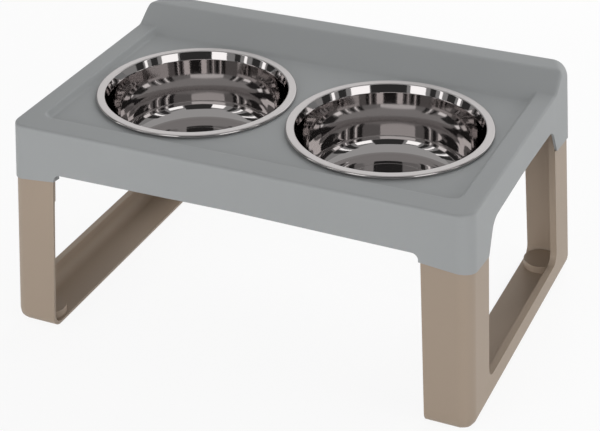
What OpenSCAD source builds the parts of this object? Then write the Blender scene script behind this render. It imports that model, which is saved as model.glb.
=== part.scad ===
// Raised dog feeder: a moulded tray with a splash back, two lift-out steel bowls
// and two plug-in leg frames on rubber feet. Millimetres, +Z up, front towards -Y,
// origin on the floor below the middle.

/* [Tray] */
// Length of the rim from end to end
rim_length = 558; // [552:1:600]
// Depth of the rim from front to back
rim_depth = 366; // [360:1:400]
// Height of the rim above the floor
rim_height = 268; // [230:1:320]
// Wall of the tray moulding
tray_wall = 3; // [2.4:0.1:3.6]
// Outward slope of the two ends, in degrees
end_draft = 3.8; // [2.5:0.1:5]
// Outward slope of the front and the back, in degrees
side_draft = 3.1; // [2:0.1:4.5]
// Radius of the two upright corners at the front
front_corner = 19; // [16:1:24]
// Radius of the two upright corners at the back
rear_corner = 14; // [12:1:20]
// Rounding of the rim's outer edge
rim_round = 3; // [1.5:0.1:3.5]
// Width of the raised rim at each end
rim_end_width = 24; // [20:0.5:25]
// Width of the raised rim at the front
rim_front_width = 32; // [26:0.5:34]
// Depth of the deck below the rim
deck_drop = 8; // [6.5:0.1:10]
// Run of the slope from the rim down to the deck
deck_slope = 4; // [2:0.5:5]
// Radius of the deck's front corners
deck_corner = 12; // [8:1:18]

/* [Splash back] */
// Height of the splash back above the rim
splash_height = 20; // [14:0.5:28]
// Width of the splash back's flat top
splash_top = 31; // [26:0.5:36]
// Steepness of the ramp that climbs to it, in degrees
ramp_angle = 38; // [32:1:48]
// Radius that blends the ramp into deck, rim and top
ramp_blend = 14; // [8:1:16]
// Radius of the splash back's two top corners, seen from the front
splash_corner = 22; // [14:1:26]
// Rounding of the splash back's top edge at the back
splash_edge = 4; // [2:0.5:5]

/* [Skirt and sleeves] */
// Height of the front and back skirts at their ends
skirt_height = 54; // [48:1:60]
// Rise of the skirt's lower edge in the middle
skirt_rise = 2.5; // [1:0.1:4]
// Radius where the skirt turns down into a sleeve
sleeve_blend = 8; // [5:0.5:10]
// Height of the end skirts in the middle
end_skirt_height = 36; // [32:0.5:42]
// Drop of a front sleeve's mouth below the rim
front_sleeve_drop = 64; // [60:1:72]
// Drop of a rear sleeve's mouth below the rim
rear_sleeve_drop = 68; // [62:1:76]
// Slant of the sleeve mouths, in degrees
mouth_slant = 5.5; // [3:0.5:7]
// Lean of the curve from an end skirt into a sleeve, in degrees
arch_lean = 27; // [20:1:32]
// Radius at the top of that curve
arch_blend = 22; // [14:1:28]
// Thickness of the wall that closes a sleeve's inner side
sleeve_return = 1.5; // [1:0.1:2.5]
// Depth of that wall behind the skirt's face
return_depth = 12; // [9:0.5:15]

/* [Deck underside] */
// Depth of the collar under each bowl opening
collar_depth = 9; // [6:0.5:14]
// Thickness of the collars and ribs
rib_wall = 2.2; // [1.6:0.1:2.8]
// Depth of the ribs under the deck
rib_depth = 7; // [4:0.5:9]

/* [Bowls] */
// Diameter over a bowl's rolled rim
bowl_diameter = 240; // [225:1:243]
// Distance between the two bowl centres
bowl_spacing = 248; // [246:0.5:254]
// Distance of the bowl centres in front of the tray's middle
bowl_forward = 14; // [10:0.5:18]
// Inner depth of a bowl
bowl_depth = 82; // [70:1:90]
// Thickness of the steel
steel = 0.8; // [0.6:0.1:1.2]
// Width of the flat band round the mouth
band_width = 10; // [8:0.5:11]
// Thickness of the rolled edge
bead = 4; // [3:0.1:5]
// Depth of the flared neck below the band
neck_depth = 9.5; // [8:0.5:14]
// Narrowing of the flared neck
neck_inset = 4; // [3:0.1:6]
// Narrowing of the wall from the neck to the bottom
wall_inset = 9.5; // [6:0.5:14]
// Radius between the wall and the bottom
bottom_radius = 22; // [16:1:26]
// Radius of the raised disc in the bottom
disc_radius = 54; // [44:1:60]
// Height of that disc
disc_rise = 3.5; // [2:0.1:5]

/* [Leg frames] */
// Wall of the leg moulding
leg_wall = 3.5; // [2.8:0.1:4]
// Step from the tray's face in to the leg's face
leg_step = 1.8; // [1.2:0.1:2.1]
// Width of the flanges on the front, floor and back of a leg frame
flange_width = 56; // [48:1:64]
// Width of each post seen from the end
post_width = 60; // [50:1:68]
// Height of the floor rail seen from the end
rail_height = 34; // [32:0.5:44]
// Depth of the lip round the window
lip_depth = 8; // [6:0.5:10]
// Radius of the window's lower corners
window_corner = 14; // [8:1:20]
// Radius of the leg's bottom edges
bottom_round = 15; // [10:1:17]
// Radius inside the leg between the floor and the walls
inner_round = 14; // [10:1:16]

/* [Feet] */
// Diameter of a rubber foot
foot_diameter = 24; // [20:1:25]
// Height that a foot stands proud of the leg
foot_proud = 1.5; // [1:0.1:2.5]
// Depth that a foot is let into the leg
foot_recess = 1.5; // [1:0.1:2]
// Diameter of a foot's stem
stem_diameter = 9; // [7:0.5:12]
// Length of a foot's stem
stem_length = 8; // [6:0.5:10]
// Diameter of the round pad over a foot
pad_diameter = 45; // [40:1:48]
// Height of that pad above the leg's underside
pad_height = 13; // [12:0.5:16]
// Distance of a foot from the leg's end face
foot_from_end = 32; // [29:0.5:34]
// Distance of a foot from the leg's front or back face
foot_from_side = 28; // [27.5:0.5:32]

/* [Fits] */
// Gap round the leg's plug inside the tray
plug_gap = 0.3; // [0.2:0.05:0.5]
// Gap below a seat: under the bowl rims and over the legs
seat_gap = 0.3; // [0.2:0.05:0.5]
// Gap between a bowl and the tray's opening
bowl_gap = 2; // [1:0.1:2.5]
// Gap round a foot and its stem
foot_gap = 0.15; // [0.1:0.05:0.3]

/* [Hidden] */

$fn = 96;
corner_fn = 48;
skin = 0.02;
far = 2 * rim_length;

grey = [0.60, 0.61, 0.62];
taupe = [0.62, 0.55, 0.48];
metal = [0.78, 0.77, 0.80];
rubber = [0.12, 0.12, 0.12];

deck_z = rim_height - deck_drop;
ceiling_z = rim_height - tray_wall;
splash_z = rim_height + splash_height;
leg_z = foot_proud;
bowl_z = deck_z + seat_gap + bead;
plug_z = ceiling_z - seat_gap;
low_z = rim_height - rear_sleeve_drop - 30;
skirt_z = rim_height - skirt_height;

band_r = bowl_diameter / 2 - band_width;
opening_r = band_r - neck_inset * bead / neck_depth + steel + bowl_gap;
deck_front_y = rim_front_width - rim_depth / 2;
deck_end_x = rim_length / 2 - rim_end_width;
splash_back_y = rim_depth / 2 - splash_height * tan(side_draft);
ramp_top_y = splash_back_y - splash_top;

// Half length and half depth of the tray's outer face at height z
function end_x(z) = rim_length / 2 + (rim_height - z) * tan(end_draft);
function side_y(z) = rim_depth / 2 + (rim_height - z) * tan(side_draft);
// Inner edge of a leg's flanges, and of a leg's posts seen from the end
function flange_x(z) = end_x(z) - leg_step - flange_width;
function post_y(z) = side_y(z) - leg_step - post_width;
function sleeve_x(z) = flange_x(z) - plug_gap - sleeve_return;

function unit(v) = v / norm(v);
// Points of an arc of radius r that replaces the corner b between a and c
function corner_arc(a, b, c, r, steps) =
    let (u = unit(a - b), w = unit(c - b), half = acos(u * w) / 2,
         centre = b + unit(u + w) * r / sin(half),
         first = b + u * r / tan(half) - centre,
         last = b + w * r / tan(half) - centre,
         start = atan2(first.y, first.x),
         turn = (atan2(last.y, last.x) - start + 540) % 360 - 180)
    [for (i = [0 : steps])
        centre + r * [cos(start + turn * i / steps), sin(start + turn * i / steps)]];
// A path with its corners rounded; radii has one value per point, 0 for a sharp one
function rounded(points, radii, steps = 8) =
    [for (i = [0 : len(points) - 1])
        let (n = len(points), before = points[(i + n - 1) % n], after = points[(i + 1) % n])
        each radii[i] > 0
            ? corner_arc(before, points[i], after, radii[i], steps)
            : [points[i]]];

// ---- shared shapes -------------------------------------------------------------

// Thin rounded outline of the flared body at height z, drawn in by inset
module outline(z, inset) {
    front_r = max(front_corner - inset, 2);
    rear_r = max(rear_corner - inset, 2);
    for (side = [-1, 1]) {
        translate([side * (end_x(z) - inset - front_r), front_r + inset - side_y(z), z])
            cylinder(h = skin, r = front_r, $fn = corner_fn);
        translate([side * (end_x(z) - inset - rear_r), side_y(z) - inset - rear_r, z])
            cylinder(h = skin, r = rear_r, $fn = corner_fn);
    }
}

// Flared body between two heights, drawn in by inset, its top edge rounded
module flared(z0, z1, inset, top_round = 0) {
    hull() {
        outline(z0, inset);
        outline(z1 - top_round, inset);
        if (top_round > 0)
            for (a = [22.5 : 22.5 : 90])
                outline(z1 - top_round * (1 - sin(a)), inset + top_round * (1 - cos(a)));
    }
}

// Flared body with a rounded bottom, drawn in by inset, standing at z0
module flared_tub(z0, z1, inset, r) {
    hull() {
        outline(z1, inset);
        for (x = [-1, 1], y = [-1, 1])
            translate([x * (end_x(z0 + r) - inset - r / cos(end_draft)),
                       y * (side_y(z0 + r) - inset - r / cos(side_draft)), z0 + r])
                sphere(r = r, $fn = 32);
    }
}

// Extrudes a side view, drawn in Y and Z, over the length x0 to x1
module along_x(x0, x1) {
    translate([x0, 0, 0])
        rotate([90, 0, 90])
            linear_extrude(x1 - x0)
                children();
}

// Extrudes a front view, drawn in X and Z, over the depth y0 to y1
module along_y(y0, y1) {
    translate([0, y1, 0])
        rotate([90, 0, 0])
            linear_extrude(y1 - y0)
                children();
}

// Everything below the slanted mouths of the four sleeves
module below_mouths(gap) {
    for (side = [-1, 1], back = [-1, 1]) {
        drop = back < 0 ? front_sleeve_drop : rear_sleeve_drop;
        inner_y = back < 0 ? -side_y(rim_height) : post_y(rim_height);
        mirror([side < 0 ? 1 : 0, 0, 0])
            translate([sleeve_x(rim_height - drop), inner_y, rim_height - drop - gap])
                rotate([-mouth_slant, mouth_slant, 0])
                    translate([-far / 8, back < 0 ? -far / 8 : -inner_y - 1, -far])
                        cube([far / 2, far / 8 + abs(inner_y), far]);
    }
}

// ---- tray ----------------------------------------------------------------------

// Where the ramp's line, sunk by sink, meets height z
function ramp_y(z, sink = 0) =
    ramp_top_y + sink * tan(ramp_angle / 2) - (splash_z - sink - z) / tan(ramp_angle);

// Side view of everything above a floor that turns up into the ramp and over its top
module above_ramp(floor_z, sink = 0) {
    top_z = splash_z - sink;
    polygon(rounded(
        [[-far / 2, floor_z], [ramp_y(floor_z, sink), floor_z], [ramp_y(top_z, sink), top_z],
         [far / 2, top_z], [far / 2, far], [-far / 2, far]],
        [0, ramp_blend + sink, ramp_blend - sink, 0, 0, 0]));
}

// Side view of the sunk deck and the foot of the ramp behind it
module deck_section() {
    reach = ramp_blend * tan(ramp_angle / 2);
    end = [ramp_y(rim_height) + reach * cos(ramp_angle), rim_height + reach * sin(ramp_angle)];
    polygon(rounded(
        [[-far / 2, deck_z], [ramp_y(deck_z), deck_z], end, [end.x, far], [-far / 2, far]],
        [0, ramp_blend, 0, 0, 0]));
}

// Front view of the splash back, with its two rounded top corners
module splash_front() {
    base = end_x(rim_height - 20);
    top = end_x(splash_z);
    polygon(rounded(
        [[-base, rim_height - 20], [base, rim_height - 20], [top, splash_z], [-top, splash_z]],
        [0, 0, splash_corner, splash_corner]));
}

module splash_back() {
    back_low = side_y(ceiling_z);
    difference() {
        intersection() {
            flared(ceiling_z, splash_z, 0);
            along_y(0, far / 2)
                splash_front();
            along_x(-far / 2, far / 2)
                polygon(rounded(
                    [[0, ceiling_z], [back_low, ceiling_z], [splash_back_y, splash_z], [0, splash_z]],
                    [0, 0, splash_edge, 0]));
        }
        along_x(-far / 2, far / 2)
            above_ramp(rim_height);
    }
}

// Sloping sides of the sunk deck, widened by grow, from just below height floor_z up
module deck_well(floor_z, grow) {
    back_y = side_y(rim_height);
    hull()
        for (z = [floor_z - 1, rim_height + deck_drop], x = [-1, 1]) {
            inset = deck_slope * (rim_height - z) / deck_drop - grow;
            reach = deck_end_x - inset - deck_corner;
            translate([x * reach, deck_front_y + inset + deck_corner, z])
                cylinder(h = skin, r = deck_corner, $fn = corner_fn);
            translate([x * reach, back_y - deck_corner, z])
                cylinder(h = skin, r = deck_corner, $fn = corner_fn);
        }
}

// Hollow of the tray from below: the rim channel, the deck's underside and the splash back
module tray_hollow() {
    difference() {
        flared(low_z - 1, ceiling_z, tray_wall);
        intersection() {
            deck_well(deck_z - tray_wall, tray_wall);
            along_x(-far / 2, far / 2)
                above_ramp(deck_z - tray_wall, tray_wall);
        }
    }
    reach = sleeve_x(rim_height);
    under_z = splash_z - tray_wall;
    front_y = ramp_top_y + tray_wall * tan(ramp_angle / 2);
    foot_y = front_y - (under_z - ceiling_z + 1) / tan(ramp_angle);
    along_x(-reach, reach)
        polygon([[foot_y + tray_wall, ceiling_z - 1], [side_y(ceiling_z) - tray_wall, ceiling_z - 1],
                 [side_y(under_z) - tray_wall, under_z], [front_y + tray_wall, under_z]]);
}

// Everything that the arched lower edges of the skirts leave open
module skirt_arches() {
    x_low = sleeve_x(low_z - 1);
    x_high = sleeve_x(skirt_z);
    along_y(-far / 2, far / 2)
        polygon(rounded(
            [[-x_low, low_z - 1], [x_low, low_z - 1], [x_high, skirt_z],
             [0, skirt_z + skirt_rise], [-x_high, skirt_z]],
            [0, 0, sleeve_blend, far, sleeve_blend]));
    end_z = rim_height - end_skirt_height;
    mouth_y = post_y(rim_height - rear_sleeve_drop) - 4;
    y_low = mouth_y + (rim_height - rear_sleeve_drop - low_z + 9) * tan(arch_lean);
    y_high = y_low - (end_z - 3 - low_z + 1) * tan(arch_lean);
    along_x(-far / 2, far / 2)
        polygon(rounded(
            [[-y_low, low_z - 1], [y_low, low_z - 1], [y_high, end_z - 3],
             [0, end_z], [-y_high, end_z - 3]],
            [0, 0, arch_blend, far, arch_blend]));
}

// Walls that close the inner side of the four sleeves
module sleeve_returns() {
    intersection() {
        flared(low_z, ceiling_z + 1, tray_wall / 2);
        for (side = [-1, 1], back = [-1, 1])
            mirror([side < 0 ? 1 : 0, 0, 0])
                mirror([0, back > 0 ? 1 : 0, 0])
                    along_y(-side_y(low_z), return_depth - side_y(rim_height - skirt_height))
                        polygon([[sleeve_x(low_z), low_z],
                                 [sleeve_x(low_z) + sleeve_return, low_z],
                                 [sleeve_x(ceiling_z) + sleeve_return, ceiling_z + 1],
                                 [sleeve_x(ceiling_z), ceiling_z + 1]]);
    }
}

// Collars under the bowl openings and the ribs that tie them to the skirts
module deck_ribs() {
    under = deck_z - tray_wall;
    for (x = [-1, 1])
        translate([x * bowl_spacing / 2, -bowl_forward, under - collar_depth])
            cylinder(h = collar_depth + tray_wall / 2, r = opening_r + rib_wall);
    front_y = -side_y(under) + tray_wall / 2;
    back_y = side_y(under) - tray_wall / 2;
    for (x = [-3 : 3])
        translate([x * bowl_spacing / 4 - rib_wall / 2, front_y, under - rib_depth])
            cube([rib_wall, back_y - front_y, rib_depth + tray_wall / 2]);
}

module tray() {
    color(grey)
    difference() {
        union() {
            difference() {
                union() {
                    flared(low_z, rim_height, 0, rim_round);
                    splash_back();
                }
                tray_hollow();
            }
            deck_ribs();
            sleeve_returns();
        }
        intersection() {
            deck_well(deck_z, 0);
            along_x(-far / 2, far / 2)
                deck_section();
        }
        for (x = [-1, 1])
            translate([x * bowl_spacing / 2, -bowl_forward, low_z])
                cylinder(h = far, r = opening_r);
        skirt_arches();
        below_mouths(0);
    }
}

// ---- bowls ---------------------------------------------------------------------

// Path of a bowl's section, from the band in to the middle, moved out by t
function bowl_path(t) =
    let (slope = norm([neck_inset, neck_depth]) / neck_depth,
         wall_depth = bowl_depth - neck_depth,
         lean = norm([wall_inset, wall_depth]) / wall_depth,
         neck_r = band_r - neck_inset,
         floor_r = neck_r - wall_inset)
    rounded(
        [[bowl_diameter / 2 - bead / 2, -t], [band_r + t * slope, -t],
         [neck_r + t * (slope + lean) / 2, -neck_depth - t],
         [floor_r + t * lean, -bowl_depth - t],
         [disc_radius + 6, -bowl_depth - t],
         [disc_radius, disc_rise - bowl_depth - t],
         [0, disc_rise - bowl_depth - t]],
        [0, 2, 8, bottom_radius + t, 3, 3, 0]);

module bowl(side) {
    inner = bowl_path(0);
    outer = bowl_path(steel);
    color(metal)
    translate([side * bowl_spacing / 2, -bowl_forward, bowl_z])
        rotate_extrude() {
            polygon(concat(inner, [for (i = [len(outer) - 1 : -1 : 0]) outer[i]]));
            translate([bowl_diameter / 2 - bead / 2, -bead / 2])
                circle(r = bead / 2, $fn = 32);
        }
}

module bowl_left() {
    bowl(-1);
}

module bowl_right() {
    bowl(1);
}

// ---- leg frames ----------------------------------------------------------------

function foot_x() = end_x(leg_z) - leg_step - foot_from_end;
function foot_y() = side_y(leg_z) - leg_step - foot_from_side;

// Outside of both leg frames: the faces below the sleeves and the plugs inside them
module leg_block() {
    intersection() {
        flared_tub(leg_z, rim_height, leg_step, bottom_round);
        below_mouths(seat_gap);
    }
    flared(low_z, plug_z - skin, tray_wall + plug_gap);
}

// The slab within depth of the right leg's end face
module end_slab(depth) {
    x0 = end_x(0) - leg_step;
    x1 = end_x(rim_height) - leg_step;
    along_y(-far / 2, far / 2)
        polygon([[x0 - depth, 0], [x0 + 9, 0], [x1 + 9, rim_height], [x1 - depth, rim_height]]);
}

// The window between the posts, drawn in by lip
module window(lip) {
    z0 = leg_z + rail_height - lip;
    z1 = rim_height + 1;
    y0 = post_y(z0) + lip;
    y1 = post_y(z1) + lip;
    r = window_corner + lip;
    along_x(0, far / 2)
        polygon(rounded([[-y0, z0], [y0, z0], [y1, z1], [-y1, z1]], [r, r, 0, 0]));
}

module right_leg() {
    difference() {
        intersection() {
            leg_block();
            end_slab(flange_width);
            union() {
                difference() {
                    translate([0, -far / 2, 0])
                        cube([far / 2, far, rim_height]);
                    flared_tub(leg_z + leg_wall, low_z + 6, leg_step + leg_wall, inner_round);
                    flared(low_z + 4, rim_height + 1, tray_wall + plug_gap + leg_wall);
                }
                intersection() {
                    end_slab(lip_depth);
                    window(leg_wall);
                }
                for (y = [-1, 1])
                    translate([foot_x(), y * foot_y(), 0])
                        cylinder(h = leg_z + pad_height, r = pad_diameter / 2);
            }
        }
        window(0);
        for (y = [-1, 1])
            translate([foot_x(), y * foot_y(), 0]) {
                cylinder(h = leg_z + foot_recess, r = foot_diameter / 2 + foot_gap);
                cylinder(h = leg_z + foot_recess + stem_length + foot_gap,
                         r = stem_diameter / 2 + foot_gap);
            }
    }
}

module leg_right() {
    color(taupe)
        right_leg();
}

module leg_left() {
    color(taupe)
        mirror([1, 0, 0])
            right_leg();
}

// ---- feet ----------------------------------------------------------------------

module foot(x, y) {
    disc = foot_proud + foot_recess;
    color(rubber)
    translate([x * foot_x(), y * foot_y(), 0])
        rotate_extrude()
            polygon(rounded(
                [[0, 0], [foot_diameter / 2, 0], [foot_diameter / 2, disc],
                 [stem_diameter / 2, disc], [stem_diameter / 2, disc + stem_length],
                 [0, disc + stem_length]],
                [0, foot_proud / 2, 0, 0, 1, 0], 4));
}

module foot_front_left() {
    foot(-1, -1);
}

module foot_front_right() {
    foot(1, -1);
}

module foot_rear_left() {
    foot(-1, 1);
}

module foot_rear_right() {
    foot(1, 1);
}

tray();
bowl_left();
bowl_right();
leg_left();
leg_right();
foot_front_left();
foot_front_right();
foot_rear_left();
foot_rear_right();
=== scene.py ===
"""Raised dog feeder: a grey moulded tray with a splash back, two steel bowls and two
taupe leg frames on rubber feet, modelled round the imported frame. Metres, +Z up."""

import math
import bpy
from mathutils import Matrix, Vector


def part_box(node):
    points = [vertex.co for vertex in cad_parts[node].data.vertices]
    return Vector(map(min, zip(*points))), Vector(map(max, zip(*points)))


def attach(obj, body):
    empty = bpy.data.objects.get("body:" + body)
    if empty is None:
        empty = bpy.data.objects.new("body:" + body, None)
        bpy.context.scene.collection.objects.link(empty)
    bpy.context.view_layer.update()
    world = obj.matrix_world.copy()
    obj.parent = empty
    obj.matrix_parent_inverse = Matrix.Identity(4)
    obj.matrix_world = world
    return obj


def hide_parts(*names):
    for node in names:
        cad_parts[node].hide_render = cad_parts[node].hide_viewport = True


bl_info = {
    "name": "Raised Dog Feeder",
    "version": (1, 0, 0),
    "blender": (4, 5, 0),
    "location": "View3D > Sidebar > Feeder",
    "description": "Builds a raised feeding table with lift-out bowls and plug-in leg frames",
    "category": "Add Mesh",
}

import bmesh
import bpy
from bpy.props import FloatProperty, FloatVectorProperty, PointerProperty
from mathutils import Matrix, Vector

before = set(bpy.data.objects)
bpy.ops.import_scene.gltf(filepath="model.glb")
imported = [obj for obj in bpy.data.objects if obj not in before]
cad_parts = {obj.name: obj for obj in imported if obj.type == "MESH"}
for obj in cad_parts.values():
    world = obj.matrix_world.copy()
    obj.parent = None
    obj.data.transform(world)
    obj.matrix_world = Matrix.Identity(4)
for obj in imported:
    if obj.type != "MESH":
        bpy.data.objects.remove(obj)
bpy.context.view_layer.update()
TRAY_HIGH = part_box("tray")[1]
BOWL_LOW, BOWL_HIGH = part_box("bowl_right")
FOOT_LOW, FOOT_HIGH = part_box("foot_front_right")

MM = 0.001
SPLASH_HEIGHT = 20 * MM
FOOT_PROUD = 1.5 * MM

# Cutters for the right-hand side start at CUT_NEAR, between the bowls and the legs, and all
# cutters end outside the object
CUT_NEAR = 0.14
CUT_FAR = 0.4
CUT_THROUGH = 0.5
CUT_LOW = -0.05
CUT_HIGH = 0.3
UNDER_DECK = 0.1


# ---- sizes and colours that a user would change ----


def length(name, description, default):
    """A length in metres that can't be negative."""
    return FloatProperty(
        name=name, description=description, default=default, min=0.0, unit="LENGTH", precision=4
    )


def angle(name, description, degrees):
    """An angle whose default is given in degrees."""
    return FloatProperty(
        name=name, description=description, default=math.radians(degrees), subtype="ANGLE"
    )


def colour(name, description, default):
    """A linear colour with alpha."""
    return FloatVectorProperty(
        name=name, description=description, default=default, size=4, min=0, max=1, subtype="COLOR"
    )


class FeederTraySizes(bpy.types.PropertyGroup):
    """Sizes of the tray moulding."""

    rim_length: length("Rim length", "Length of the rim from end to end", 558 * MM)
    rim_depth: length("Rim depth", "Depth of the rim from front to back", 366 * MM)
    rim_height: length("Rim height", "Height above the floor", TRAY_HIGH.z - SPLASH_HEIGHT)
    wall: length("Wall", "Thickness of the moulding", 3 * MM)
    end_draft: angle("End draft", "Outward slope of the two ends", 3.8)
    side_draft: angle("Side draft", "Outward slope of the front and the back", 3.1)
    front_corner: length("Front corners", "Radius of the upright front corners", 19 * MM)
    rear_corner: length("Rear corners", "Radius of the upright rear corners", 14 * MM)
    rim_round: length("Rim rounding", "Rounding of the rim's outer edge", 3.2 * MM)
    rim_end: length("Rim at the ends", "Width of the rim at each end", 24 * MM)
    rim_front: length("Rim at the front", "Width of the rim at the front", 32 * MM)
    deck_drop: length("Deck drop", "Depth of the deck below the rim", 8 * MM)
    deck_corner: length("Deck corners", "Radius of the deck's front corners", 12 * MM)
    slope_run: length("Deck slope", "Run of the slope from the rim to the deck", 4 * MM)
    splash_height: length("Splash back", "Height of the splash back above the rim", SPLASH_HEIGHT)
    splash_top: length("Splash back top", "Width of the splash back's flat top", 31 * MM)
    splash_corner: length("Splash back corners", "Radius of its top corners, at the back", 22 * MM)
    splash_front: length("Splash front corners", "Radius of those corners at the front", 5 * MM)
    ramp_angle: angle("Ramp", "Steepness of the ramp up the splash back", 38)
    ramp_round: length("Ramp rounding", "Radius of the bends of the ramp", 14 * MM)
    skirt_height: length("Skirt", "Height of the front and back skirts at their ends", 54 * MM)
    skirt_rise: length("Skirt rise", "Rise of the skirt's edge in the middle", 2.5 * MM)
    end_skirt: length("End skirt", "Height of the end skirts in the middle", 36 * MM)
    front_sleeve: length("Front sleeves", "Drop of the front sleeves below the rim", 64 * MM)
    rear_sleeve: length("Rear sleeves", "Drop of the rear sleeves below the rim", 68 * MM)
    mouth_slant: angle("Mouth slant", "Slant of the sleeve mouths", 5.5)
    arch_lean: angle("Arch lean", "Lean of the end arch's sides", 27)
    sleeve_return: length("Sleeve return", "Wall that closes the inner side of a sleeve", 1.5 * MM)
    return_depth: length("Return depth", "Depth of that wall behind the skirt", 12 * MM)
    collar_depth: length("Collar", "Depth of the collar under a bowl opening", 9 * MM)
    rib_wall: length("Rib", "Thickness of the ribs under the deck", 2.2 * MM)
    rib_depth: length("Rib depth", "Depth of those ribs", 7 * MM)


class FeederLegSizes(bpy.types.PropertyGroup):
    """Sizes of the two leg frames and their feet."""

    wall: length("Wall", "Thickness of the leg moulding", 3.5 * MM)
    step: length("Step", "Step from the tray's face in to the leg's face", 1.8 * MM)
    fit: length("Fit", "Gap between a leg and its sleeve", 0.3 * MM)
    flange: length("Flange", "Width of the flanges on the front, floor and back", 56 * MM)
    post: length("Post", "Width of a post seen from the end", 60 * MM)
    rail: length("Rail", "Height of the floor rail seen from the end", 34 * MM)
    lip: length("Window lip", "Depth of the lip round the window", 8 * MM)
    window_corner: length("Window corners", "Radius of the window's lower corners", 14 * MM)
    bottom_round: length("Bottom rounding", "Radius of the bottom edges", 15 * MM)
    pad_diameter: length("Pad", "Diameter of the round pads over the feet", 43 * MM)
    pad_height: length("Pad height", "Height of those pads", 13 * MM)
    foot_diameter: length("Foot", "Diameter of a rubber foot", FOOT_HIGH.x - FOOT_LOW.x)
    foot_proud: length("Foot height", "How far a foot stands proud of the frame", FOOT_PROUD)
    foot_from_end: length("Foot from the end", "From a foot's middle to the end face", 32 * MM)
    foot_from_side: length("Foot from the side", "From its middle to the front or back", 28 * MM)


class FeederBowlSizes(bpy.types.PropertyGroup):
    """Sizes of the two steel bowls."""

    diameter: length("Diameter", "Diameter over the rolled rim", BOWL_HIGH.x - BOWL_LOW.x)
    spacing: length("Spacing", "Distance between the bowl centres", BOWL_LOW.x + BOWL_HIGH.x)
    forward: length("Forward", "How far the centres lie in front of the middle", 14 * MM)
    top: length("Top", "Height of the rolled rim above the floor", BOWL_HIGH.z)
    depth: length("Depth", "Inner depth of a bowl", 82 * MM)
    steel: length("Steel", "Thickness of the sheet", 0.8 * MM)
    band: length("Band", "Width of the flat band round the mouth", 10 * MM)
    bead: length("Rolled edge", "Thickness of the rolled edge", 4 * MM)
    neck_depth: length("Neck", "Depth of the neck below the band", 9.5 * MM)
    neck_inset: length("Neck inset", "How far the neck draws in", 4 * MM)
    wall_inset: length("Wall inset", "How far the wall draws in below the neck", 9.5 * MM)
    bottom_round: length("Bottom rounding", "Radius between the wall and the floor", 22 * MM)
    disc: length("Disc", "Radius of the raised disc in the floor", 54 * MM)
    disc_rise: length("Disc rise", "Height of that disc", 3.5 * MM)
    play: length("Play", "Gap between a bowl and its opening", 2 * MM)


class FeederFinish(bpy.types.PropertyGroup):
    """Colours of the feeder."""

    grey: colour("Tray", "Grey of the tray moulding", (0.345, 0.356, 0.360, 1.0))
    taupe: colour("Legs", "Taupe of the leg frames", (0.368, 0.292, 0.226, 1.0))
    steel: colour("Steel", "Colour of the polished steel", (0.58, 0.555, 0.55, 1.0))
    rubber: colour("Feet", "Colour of the rubber feet", (0.018, 0.018, 0.019, 1.0))


# ---- mesh helpers ----


def new_object(name, bm):
    """An object at the origin that holds the mesh of bm, which is used up."""
    mesh = bpy.data.meshes.new(name)
    bm.to_mesh(mesh)
    bm.free()
    obj = bpy.data.objects.new(name, mesh)
    bpy.context.scene.collection.objects.link(obj)
    return obj


def remove_object(obj):
    """Deletes obj and its mesh."""
    mesh = obj.data
    bpy.data.objects.remove(obj)
    bpy.data.meshes.remove(mesh)


def apply_modifiers(obj):
    """Puts the result of obj's modifiers in its mesh."""
    graph = bpy.context.evaluated_depsgraph_get()
    mesh = bpy.data.meshes.new_from_object(obj.evaluated_get(graph))
    obj.modifiers.clear()
    old, obj.data = obj.data, mesh
    bpy.data.meshes.remove(old)
    return obj


def boolean(target, cutter, operation):
    """Cuts, joins or meets target with cutter, which is used up."""
    modifier = target.modifiers.new("Boolean", "BOOLEAN")
    modifier.object = cutter
    modifier.operation = operation
    modifier.solver = "EXACT"
    apply_modifiers(target)
    if not target.data.polygons:
        raise RuntimeError(f"{operation} with {cutter.name} left nothing of {target.name}")
    remove_object(cutter)
    return target


def duplicate(obj, name):
    """A copy of obj with a mesh of its own."""
    bm = bmesh.new()
    bm.from_mesh(obj.data)
    return new_object(name, bm)


def mirrored(obj, name):
    """A copy of obj mirrored to the other side of X = 0."""
    bm = bmesh.new()
    bm.from_mesh(obj.data)
    bmesh.ops.scale(bm, verts=bm.verts, vec=(-1, 1, 1))
    bmesh.ops.reverse_faces(bm, faces=bm.faces)
    return new_object(name, bm)


def smooth(obj, degrees=35):
    """Smooth shading that keeps the edges sharper than degrees."""
    bm = bmesh.new()
    bm.from_mesh(obj.data)
    limit = math.radians(degrees)
    for face in bm.faces:
        face.smooth = True
    for edge in bm.edges:
        edge.smooth = len(edge.link_faces) == 2 and edge.calc_face_angle(0.0) < limit
    bm.to_mesh(obj.data)
    bm.free()
    weighted = obj.modifiers.new("Weighted Normal", "WEIGHTED_NORMAL")
    weighted.keep_sharp = True
    return obj


def block(name, place):
    """A box whose corners lie where place(right, back, top) puts them."""
    bm = bmesh.new()
    bmesh.ops.create_cube(bm, size=2.0)
    for vert in bm.verts:
        vert.co = place(vert.co.x > 0, vert.co.y > 0, vert.co.z > 0)
    return new_object(name, bm)


def rounded_path(points, radii, steps=8):
    """A closed path with its corners replaced by arcs; radii has one value per point."""
    path = []
    for i, radius in enumerate(radii):
        corner = Vector(points[i])
        if radius <= 0:
            path.append(corner)
            continue
        back = (Vector(points[i - 1]) - corner).normalized()
        on = (Vector(points[(i + 1) % len(points)]) - corner).normalized()
        half = back.angle(on) / 2
        centre = corner + (back + on).normalized() * (radius / math.sin(half))
        start = corner + back * (radius / math.tan(half)) - centre
        turn = 2 * half - math.pi if back.cross(on) > 0 else math.pi - 2 * half
        for step in range(steps + 1):
            path.append(centre + Matrix.Rotation(turn * step / steps, 2) @ start)
    return path


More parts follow.
